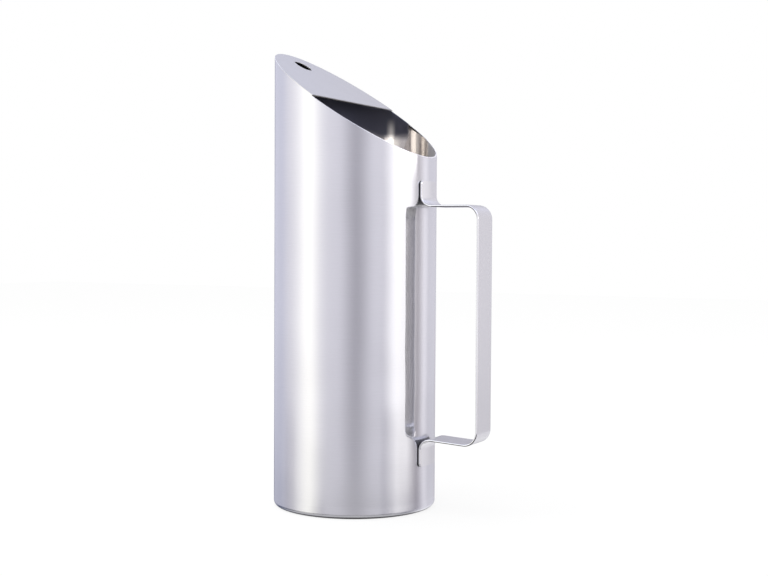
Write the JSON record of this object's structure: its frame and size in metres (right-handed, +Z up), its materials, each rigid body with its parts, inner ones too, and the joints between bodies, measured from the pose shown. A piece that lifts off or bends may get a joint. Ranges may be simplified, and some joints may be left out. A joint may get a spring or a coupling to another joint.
{
  "type": "water pitcher",
  "caption": "Tall straight-walled steel water pitcher with a slanted mouth, a flat half-moon ice guard with a pour slot, and a flat strap handle.",
  "frame": {"origin": "middle of the flat underside, on the axis of the round body", "axes": "+Z up along the body's axis; the pouring tip points to -X and the handle to +X; the XZ plane is the mirror plane"},
  "size_m": [0.1375, 0.1, 0.281],
  "materials": {
    "body_steel": "satin polish with a fine brushing that runs round the tube",
    "base_steel": "satin polish",
    "guard_steel": "satin, brushed along the slope",
    "strap_steel": "satin, brushed along the strap, edges deburred and bright",
    "ground_weld": "weld ground flush and polished",
    "spot_weld": "fused steel, hidden between the sheets"
  },
  "bodies": {
    "root": {"body_wall": "body_steel", "base_pan": "base_steel", "base_weld": "ground_weld", "ice_guard": "guard_steel", "guard_weld": "ground_weld", "handle_strap": "strap_steel", "upper_tab_welds": "spot_weld", "lower_tab_welds": "spot_weld"}
  },
  "joints": []
}
